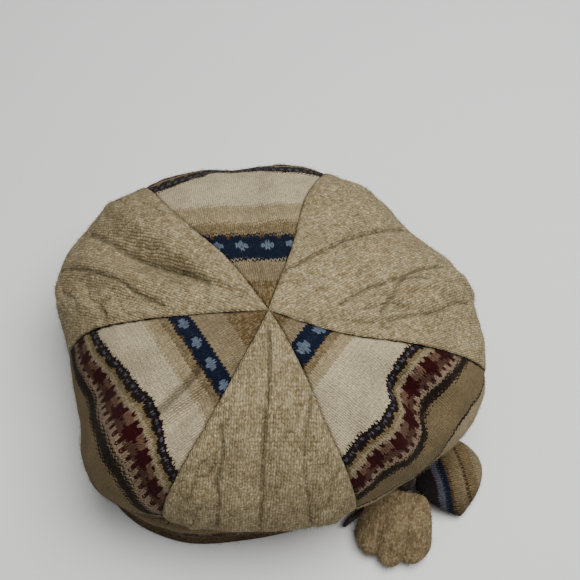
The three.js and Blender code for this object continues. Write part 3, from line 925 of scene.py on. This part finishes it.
def scatter_fibres(piece, count, middle, seed):
    """Fibres on the side of a piece that looks away from its middle."""
    rng = np.random.default_rng(seed)
    mesh = piece.data
    centre, normal = face_values(mesh, "center", 3), face_values(mesh, "normal", 3)
    outside = (((centre - middle) * normal).sum(axis=1) > 0) & (centre[:, 2] > FIBRE_LENGTH)
    weight = face_values(mesh, "area", 1)[:, 0] * outside
    chosen = rng.choice(len(weight), size=count, p=weight / weight.sum())
    up, root = normal[chosen], centre[chosen]
    lean = np.cross(up, rng.normal(size=(count, 3)))
    lean /= np.linalg.norm(lean, axis=1, keepdims=True)
    side = np.cross(up, lean)
    ahead, aside = rng.uniform(-0.5, 0.5, (count, 1)), rng.uniform(-0.5, 0.5, (count, 1))
    root = root + (lean * ahead + side * aside) * STITCH
    reach = FIBRE_LENGTH * rng.uniform(0.5, 1.5, (count, 1))
    lift, curl = reach * rng.uniform(0.1, 0.75, (count, 1)), reach * rng.normal(0, 0.3, (count, 1))
    bend_point = root + 0.5 * reach * lean + 0.75 * lift * up + 0.3 * curl * side
    tip = root + reach * lean + lift * up + curl * side
    tip[:, 2] = np.maximum(tip[:, 2], FIBRE_ROOT)
    points = np.zeros((count, 7, 3))
    for k in range(3):
        turn = 2 * math.pi * k / 3
        ring = FIBRE_WIDTH * (math.cos(turn) * side + math.sin(turn) * up)
        points[:, k], points[:, k + 3] = root - FIBRE_ROOT * up + ring, bend_point + ring
    points[:, 6] = tip
    faces = [tuple(7 * i + v for v in face) for i in range(count) for face in HORN_FACES]
    fuzz = bpy.data.meshes.new("fuzz_" + piece.name.removeprefix("cloth_"))
    fuzz.from_pydata(points.reshape(-1, 3).tolist(), [], faces)
    first = np.zeros(len(mesh.polygons), int)
    mesh.polygons.foreach_get("loop_start", first)
    for layer in mesh.uv_layers:
        spots = np.repeat(read_uv(mesh, layer)[first[chosen]], HORN_CORNERS, axis=0)
        fuzz.uv_layers.new(name=layer.name).data.foreach_set("uv", spots.ravel().astype(np.float32))
    fuzz.shade_smooth()
    tuft = bpy.data.objects.new(fuzz.name, fuzz)
    bpy.context.collection.objects.link(tuft)
    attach(tuft, ROOT)
    return tuft


CROWN_MIDDLE = np.array([AXIS[0], AXIS[1], BAND_HEIGHT])
BAND_MIDDLE = np.array([AXIS[0], AXIS[1], BAND_HEIGHT / 2])
fuzz = {}
for k, panel in enumerate(PANELS):
    count = FIBRES[panel["cloth"]]
    fuzz[panel["name"]] = scatter_fibres(panels[panel["name"]], count, CROWN_MIDDLE, PANEL_SEED + k)
fuzz["band"] = scatter_fibres(band, FIBRES["band"], BAND_MIDDLE, BAND_SEED)
for k, (node, piece) in enumerate(flower.items()):
    middle = np.array(piece.bound_box).mean(axis=0)
    fuzz[node] = scatter_fibres(piece, FIBRES[node], middle, FLOWER_SEED + k)
print(sum(len(tuft.data.polygons) for tuft in fuzz.values()) // len(HORN_FACES), "fibres")

# %% [markdown]
# ## A short way to write shader formulas
# A knit is a formula: how far a point is across its stitch and along its row. In the shader editor that
# takes many small Math nodes, so a helper adds them one call at a time and joins each to the values it
# works on.

# %% Node helper
class Nodes:
    """Adds nodes to one node tree. A value is either another node's socket or a plain number."""

    def __init__(self, tree):
        self.tree = tree

    def add(self, kind, **settings):
        node = self.tree.nodes.new(kind)
        for name, value in settings.items():
            setattr(node, name, value)
        return node

    def feed(self, socket, value):
        if isinstance(value, bpy.types.NodeSocket):
            self.tree.links.new(value, socket)
        else:
            socket.default_value = value

    def run(self, kind, values, **settings):
        """Adds a node, feeds its inputs in their order and gives its first output."""
        node = self.add(kind, **settings)
        for socket, value in zip(node.inputs, values):
            self.feed(socket, value)
        return node.outputs[0]

    def math(self, operation, *values):
        return self.run("ShaderNodeMath", values, operation=operation)

    def vector(self, operation, *values):
        return self.run("ShaderNodeVectorMath", values, operation=operation)

    def dome(self, share, power):
        """1 in the middle of a share from 0 to 1, falling to 0 at both of its ends."""
        away = self.math("ABSOLUTE", self.math("MULTIPLY_ADD", share, 2.0, -1.0))
        return self.math("SUBTRACT", 1.0, self.math("POWER", away, power))

    def mix(self, share, a, b, blend="MIX"):
        node = self.add("ShaderNodeMix", data_type="RGBA", blend_type=blend)
        self.feed(node.inputs[0], share)
        for socket, value in ((node.inputs[6], a), (node.inputs[7], b)):
            self.feed(socket, (*value, 1) if isinstance(value, tuple) else value)
        return node.outputs[2]

    def split(self, vector):
        node = self.add("ShaderNodeSeparateXYZ")
        self.feed(node.inputs[0], vector)
        return node.outputs[0], node.outputs[1], node.outputs[2]

    def join(self, x, y, z=0.0):
        return self.run("ShaderNodeCombineXYZ", (x, y, z))

    def noise(self, vector, scale, detail=2.0, color=False):
        node = self.add("ShaderNodeTexNoise")
        self.feed(node.inputs["Vector"], vector)
        node.inputs["Scale"].default_value = scale
        node.inputs["Detail"].default_value = detail
        return node.outputs["Color" if color else "Fac"]

    def scaled(self, vector, factor, shift):
        return self.vector("MULTIPLY_ADD", vector, (factor,) * 3, (shift,) * 3)

    def level(self, value, low, high, to_low=0.0, to_high=1.0):
        return self.run("ShaderNodeMapRange", (value, low, high, to_low, to_high), clamp=True)

    def ramp(self, value, stops, interpolation="LINEAR"):
        node = self.add("ShaderNodeValToRGB")
        node.color_ramp.interpolation = interpolation
        elements = node.color_ramp.elements
        while len(elements) < len(stops):
            elements.new(1.0)
        for element, (place, color) in zip(elements, stops):
            element.position = place
            element.color = (*color, 1)
        self.feed(node.inputs[0], value)
        return node.outputs[0]


def new_group(name, takes, gives):
    """An empty node group with named inputs and outputs, and a helper for its inside."""
    tree = bpy.data.node_groups.new(name, "ShaderNodeTree")
    for side, sockets in (("INPUT", takes), ("OUTPUT", gives)):
        for label, kind in sockets.items():
            tree.interface.new_socket(label, in_out=side, socket_type="NodeSocket" + kind)
    nodes = Nodes(tree)
    return tree, nodes, nodes.add("NodeGroupInput").outputs, nodes.add("NodeGroupOutput").inputs


def place_group(nodes, tree, **values):
    node = nodes.add("ShaderNodeGroup", node_tree=tree)
    for label, value in values.items():
        nodes.feed(node.inputs[label], value)
    return node.outputs


print("node helper ready")

# %% [markdown]
# ## One group for the stitches
# Stocking stitch looks like columns of small V shapes. Across one column, the two legs of the V are two
# rounded ridges, and along it each leg starts a little higher at its outer end. The group turns a place on
# the cloth into the height of the yarn there, a random number for each leg, the column, and how far the
# point is from the middle of its row, which the stripes need so that they change colour from stitch to
# stitch and not on a straight line.

# %% Stitch group
def build_stitches():
    tree, n, takes, gives = new_group(
        "knit_stitches", {"Cloth": "Vector", "Wale": "Float", "Course": "Float"},
        {"Height": "Float", "Random": "Float", "Column": "Float", "Offset": "Float"})
    x, y, _ = n.split(takes["Cloth"])
    across = n.math("DIVIDE", x, takes["Wale"])
    column = n.math("FLOOR", across)
    inside = n.math("SUBTRACT", across, column)
    leg = n.math("MULTIPLY", n.math("ABSOLUTE", n.math("SUBTRACT", inside, 0.5)), 2.0)
    along = n.math("ADD", n.math("DIVIDE", y, takes["Course"]), n.math("MULTIPLY", leg, 0.6))
    row = n.math("FLOOR", along)
    share = n.math("SUBTRACT", along, row)
    side = n.math("GREATER_THAN", inside, 0.5)
    ridge, bead = n.dome(leg, 2.0), n.dome(share, 3.0)
    height = n.math("MULTIPLY", ridge, n.math("MULTIPLY_ADD", bead, 0.8, 0.2))
    dice = n.add("ShaderNodeTexWhiteNoise", noise_dimensions="3D")
    n.feed(dice.inputs["Vector"], n.join(n.math("MULTIPLY_ADD", column, 2.0, side), row))
    n.feed(gives["Height"], height)
    n.feed(gives["Random"], dice.outputs["Value"])
    n.feed(gives["Column"], column)
    n.feed(gives["Offset"], n.math("SUBTRACT", share, 0.5))
    return tree


STITCHES = build_stitches()
print("stitch group has", len(STITCHES.nodes), "nodes")

# %% [markdown]
# ## One group for felted wool
# Washed wool is never one colour: single fibres are lighter or darker, whole patches are a little duller,
# and loose fibres lie over the stitches. The group gives a fine fleck, a broad mottle and the height of the
# loose fibres. It also gives a push sideways, so that rows of stitches wander and the edge between two
# colours is a little ragged.

# %% Wool group
FLECK_WAVES = 720.0    # waves of each noise in a metre
MOTTLE_WAVES = 70.0
FIBRE_WAVES = 1500.0
FINE_WAVES = 900.0
BROAD_WAVES = 150.0
FINE_PUSH = 0.8 * MM
BROAD_PUSH = 1.8 * MM


def build_wool():
    tree, n, takes, gives = new_group(
        "felted_wool", {"Place": "Vector"},
        {"Fleck": "Float", "Mottle": "Float", "Fibre": "Float", "Push": "Vector"})
    n.feed(gives["Fleck"], n.level(n.noise(takes["Place"], FLECK_WAVES, 3.0), 0.30, 0.70))
    n.feed(gives["Mottle"], n.level(n.noise(takes["Place"], MOTTLE_WAVES, 2.0), 0.30, 0.70))
    n.feed(gives["Fibre"], n.noise(takes["Place"], FIBRE_WAVES, 2.0))
    fine = n.noise(takes["Place"], FINE_WAVES, 2.0, color=True)
    broad = n.noise(takes["Place"], BROAD_WAVES, 1.0, color=True)
    fine = n.scaled(fine, FINE_PUSH, -FINE_PUSH / 2)
    broad = n.scaled(broad, BROAD_PUSH, -BROAD_PUSH / 2)
    n.feed(gives["Push"], n.vector("ADD", fine, broad))
    return tree


WOOL = build_wool()
print("wool group has", len(WOOL.nodes), "nodes")

# %% [markdown]
# ## One group for each knitting chart
# A knitter reads a chart row by row: the ground colour, the motif colour, and which stitches of a repeat
# are motif. Colour ramps with constant steps hold exactly that. One ramp gives the ground, one the motif,
# and one packs the motif's share of a repeat, the stitches in a repeat and the flecks into its three
# channels.

# %% Chart groups
REPEAT_UNIT = 8        # stitches that stand for 1 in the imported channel


def build_chart(name, chart, course):
    tree, n, takes, gives = new_group(
        name, {"Length": "Float", "Column": "Float", "Offset": "Float", "Random": "Float", "Fleck": "Float"},
        {"Color": "Color"})
    rows = sum(row[1] for row in chart)
    starts = np.cumsum([0] + [row[1] for row in chart[:-1]]) / rows
    level = n.math("SUBTRACT", n.math("DIVIDE", takes["Length"], course), takes["Offset"])
    place = n.math("DIVIDE", level, float(rows))
    columns = ([row[2] for row in chart], [row[3] for row in chart],
               [(row[4], row[5] / REPEAT_UNIT, row[6]) for row in chart])
    ground, motif, packed = (n.ramp(place, list(zip(starts, column)), "CONSTANT") for column in columns)
    share, repeat, flecked = n.split(packed)
    stitches = n.math("MULTIPLY", repeat, float(REPEAT_UNIT))
    turn = n.math("FRACT", n.math("DIVIDE", takes["Column"], stitches))
    away = n.math("ABSOLUTE", n.math("SUBTRACT", turn, 0.5))
    chosen = n.math("LESS_THAN", away, n.math("MULTIPLY", share, 0.5))
    plain = n.mix(chosen, ground, motif)
    mixed = n.math("MULTIPLY", flecked, n.level(n.math("ADD", takes["Random"], takes["Fleck"]), 0.7, 1.5))
    n.feed(gives["Color"], n.mix(mixed, plain, motif))
    return tree


JUMPER = build_chart("jumper_chart", CHART, COURSE)
print("jumper chart has", len(CHART), "stripes")

# %% [markdown]
# ## The finishes
# Each material joins the groups: the chart or a blend of wool tones for colour, painted shade in the gaps
# between the stitches and a little in the creases, and a bump from stitches and loose fibres. Wool scatters
# light back at glancing angles, which the shader's sheen does, so sheen and roughness are set on the shader
# itself.

# %% Shared parts of a wool material
CREASE_SHADE = 0.55    # share of its light that the deepest crease loses
MOTTLE = 0.30          # how much lighter the lightest patches of the wool are
BUMP_HEIGHT = 1.1 * MM
WOOL_SHADER = {"Roughness": 0.95, "Sheen Roughness": 0.6, "Sheen Tint": (1.0, 0.93, 0.80, 1),
               "Specular IOR Level": 0.1}


def new_material(name, inputs):
    """A material, a helper for its nodes, and its shader with some inputs set."""
    material = bpy.data.materials.new(name)
    material.use_nodes = True
    shader = material.node_tree.nodes["Principled BSDF"]
    for label, value in inputs.items():
        shader.inputs[label].default_value = value
    return material, Nodes(material.node_tree), shader


def wool_material(name, sheen=0.02):
    return new_material(name, {**WOOL_SHADER, "Sheen Weight": sheen})


def cloth_inputs(nodes, wale, course):
    """Stitches on the flat cloth and wool in space, for one material."""
    place = nodes.add("ShaderNodeTexCoord").outputs["Object"]
    wool = place_group(nodes, WOOL, Place=place)
    flat = nodes.add("ShaderNodeUVMap", uv_map="cloth").outputs[0]
    pushed = nodes.vector("ADD", flat, wool["Push"])
    stitches = place_group(nodes, STITCHES, Cloth=pushed, Wale=wale, Course=course)
    return stitches, wool


def finish(nodes, shader, color, stitches, wool, gap=0.38, bump=0.6):
    """Paints shade into the colour in the gaps between stitches and in creases, and joins colour and bump to
    the shader.
    """
    crease = nodes.add("ShaderNodeAttribute", attribute_name="crease").outputs["Fac"]
    # painted shade: the colour is darker in the gaps between stitches and in the creases
    lit = nodes.math("MULTIPLY_ADD", stitches["Height"], gap, 1 - gap)
    lit = nodes.math("MULTIPLY", lit, nodes.math("MULTIPLY_ADD", crease, -CREASE_SHADE, 1.0))
    lit = nodes.math("MULTIPLY", lit, nodes.math("MULTIPLY_ADD", wool["Mottle"], MOTTLE, 1.02))
    shade = nodes.mix(1.0, color, nodes.join(lit, lit, lit), "MULTIPLY")
    nodes.feed(shader.inputs["Base Color"], shade)
    height = nodes.math("MULTIPLY_ADD", wool["Fibre"], 0.6, stitches["Height"])
    node = nodes.add("ShaderNodeBump")
    node.inputs["Strength"].default_value = bump
    node.inputs["Distance"].default_value = BUMP_HEIGHT
    nodes.feed(node.inputs["Height"], height)
    nodes.feed(shader.inputs["Normal"], node.outputs[0])


print("finish helper ready")

# %% Oatmeal, cream, band and flower
OATMEAL_TONES = ((0.10, (0.165, 0.120, 0.057)), (0.38, (0.262, 0.204, 0.109)),
                 (0.62, (0.335, 0.272, 0.157)), (0.90, (0.47, 0.395, 0.245)))
PETAL_TONES = ((0.10, (0.105, 0.072, 0.036)), (0.38, (0.165, 0.118, 0.060)),
               (0.62, (0.225, 0.168, 0.091)), (0.90, (0.31, 0.242, 0.138)))
DARK_TONES = ((0.0, BARK), (0.4, PLUM), (0.7, (0.045, 0.022, 0.030)), (1.0, (0.11, 0.09, 0.10)))


def toned_material(name, tones, wale, course, sheen=0.02, **looks):
    material, n, shader = wool_material(name, sheen)
    stitches, wool = cloth_inputs(n, wale, course)
    by_stitch = n.math("MULTIPLY", stitches["Random"], 0.40)
    tone = n.math("ADD", by_stitch, n.math("MULTIPLY", wool["Fleck"], 0.60))
    finish(n, shader, n.ramp(tone, tones), stitches, wool, **looks)
    return material


def charted_material(name, chart, uv):
    material, n, shader = wool_material(name)
    stitches, wool = cloth_inputs(n, WALE, COURSE)
    length = n.split(n.add("ShaderNodeUVMap", uv_map=uv).outputs[0])[1]
    ragged = n.math("ADD", length, n.split(wool["Push"])[1])
    color = place_group(n, chart, Length=ragged, Column=stitches["Column"], Offset=stitches["Offset"],
                        Random=stitches["Random"], Fleck=wool["Fleck"])["Color"]
    light = n.math("MULTIPLY_ADD", wool["Fleck"], 0.45, 0.78)
    lit = n.mix(1.0, color, n.join(light, light, light), "MULTIPLY")
    finish(n, shader, lit, stitches, wool, bump=0.5)
    return material


# From the hem's underside up the outside, over the top and down the inside.
BAND_CHART = (
    ("sole", 2, BARK, MAROON, 0.0, 6, 0.3),
    ("hem", 2, RUSSET, MAROON, 0.0, 6, 0.4),
    ("speckled", 8, UMBER, OLIVE, 0.0, 6, 0.35),
    ("line", 1, BARK, UMBER, 0.0, 6, 0.3),
    ("maroon", 3, MAROON, ROSE, 0.34, 6, 0.2),
    ("top", 5, OLIVE, OCHRE, 0.0, 6, 0.5),
    ("inside", 21, TAN, OLIVE, 0.0, 6, 0.4),
)

# From the heart outwards.
PETAL_CHART = (
    ("root", 8, BARK, NAVY, 0.0, 6, 0.4),
    ("lilac", 2, LILAC, NAVY, 0.0, 6, 0.15),
    ("navy", 2, NAVY, BARK, 0.0, 6, 0.3),
    ("brown", 1, UMBER, OLIVE, 0.0, 6, 0.4),
    ("olive", 2, OLIVE, UMBER, 0.0, 6, 0.4),
    ("tan", 2, OLIVE, TAN, 0.0, 6, 0.5),
    ("line", 1, UMBER, BARK, 0.0, 6, 0.4),
    ("gold", 3, OCHRE, OLIVE, 0.0, 6, 0.5),
    ("edge", 6, TAN, OCHRE, 0.0, 6, 0.5),
)

knits = {
    "oatmeal": toned_material(
        "oatmeal_cable_knit", OATMEAL_TONES, wale=2.8 * MM, course=2.3 * MM, gap=0.40, bump=0.5),
    "cream": charted_material("cream_fair_isle_knit", JUMPER, "chart"),
}
band_chart = build_chart("band_chart", BAND_CHART, COURSE)
knits["band"] = charted_material("speckled_band_knit", band_chart, "cloth")
knits["petal_oatmeal"] = toned_material(
    "oatmeal_petal_felt", PETAL_TONES, wale=2.3 * MM, course=2.0 * MM, gap=0.15, bump=0.4)
petal_chart = build_chart("petal_chart", PETAL_CHART, COURSE)
knits["petal_striped"] = charted_material("striped_petal_felt", petal_chart, "cloth")
dark_felt = toned_material("dark_petal_felt", DARK_TONES, WALE, COURSE, sheen=0.15)
knits["petal_dark"] = knits["flower_heart"] = dark_felt
knits.update({panel["name"]: knits[panel["cloth"]] for panel in PANELS})

pieces = {**panels, "band": band, **flower}
for node, piece in pieces.items():
    piece.data.materials.append(knits[node])
    fuzz[node].data.materials.append(knits[node])
print(len(bpy.data.materials), "materials")

# %% [markdown]
# A sheet of cloth has a size it was cut to. The wedges are cut as wedges, so their flat area is smaller
# than their width times their length, and both are read off the flat cloth's own UV map.

# %% Sheets and padded pieces
def flat_size(piece):
    """Width, length and area on the flat cloth of one side of a sheet."""
    mesh = piece.data
    uv = read_uv(mesh, mesh.uv_layers["cloth"])
    area = 0.0
    for face in mesh.polygons:
        x, y = uv[face.loop_start:face.loop_start + face.loop_total].T
        area += abs(np.dot(x, np.roll(y, 1)) - np.dot(y, np.roll(x, 1))) / 2
    return np.ptp(uv[:, 0]), np.ptp(uv[:, 1]), area / 2


for name, sheet in panels.items():
    width, length, area = flat_size(sheet)
    print(name, "cut", round(width / MM), "by", round(length / MM), "mm,", round(area * 1e4), "square cm")

# %% [markdown]
# ## Floor and light
# The photograph has a pale matt surface under soft light from above, a little stronger from the back right.
# Two large area lamps and a grey sky give that without hard shadows.

# %% Floor and lights
FLOOR_GREY = 0.90


def add_floor():
    bpy.ops.mesh.primitive_plane_add(size=6, location=(0, 0, -0.2 * MM))
    floor = bpy.context.object
    floor.name = "floor"
    material, nodes, shader = new_material("pale_floor", {"Roughness": 0.8})
    grain = nodes.noise(nodes.add("ShaderNodeTexCoord").outputs["Object"], 9.0, 2.0)
    tone = nodes.level(grain, 0.2, 0.8, FLOOR_GREY - 0.01, FLOOR_GREY + 0.01)
    nodes.feed(shader.inputs["Base Color"], nodes.join(tone, tone, nodes.math("MULTIPLY", tone, 0.98)))
    floor.data.materials.append(material)


def add_lamp(name, place, size, power, aim=(0, 0, 40 * MM)):
    bpy.ops.object.light_add(type="AREA", location=place)
    lamp = bpy.context.object
    lamp.name = name
    lamp.data.size = size
    lamp.data.energy = power
    direction = mathutils.Vector(aim) - mathutils.Vector(place)
    lamp.rotation_euler = direction.to_track_quat("-Z", "Y").to_euler()


def add_sky(strength):
    world = bpy.data.worlds.new("soft_sky")
    bpy.context.scene.world = world
    world.use_nodes = True
    back = world.node_tree.nodes["Background"]
    back.inputs["Color"].default_value = (0.92, 0.96, 1.0, 1)
    back.inputs["Strength"].default_value = strength


add_floor()
add_lamp("key", place=(0.26, 0.08, 0.97), size=0.7, power=12.8)
add_lamp("fill", place=(-0.6, -0.10, 0.9), size=0.6, power=0.8)
add_sky(strength=0.165)
print("stage ready")
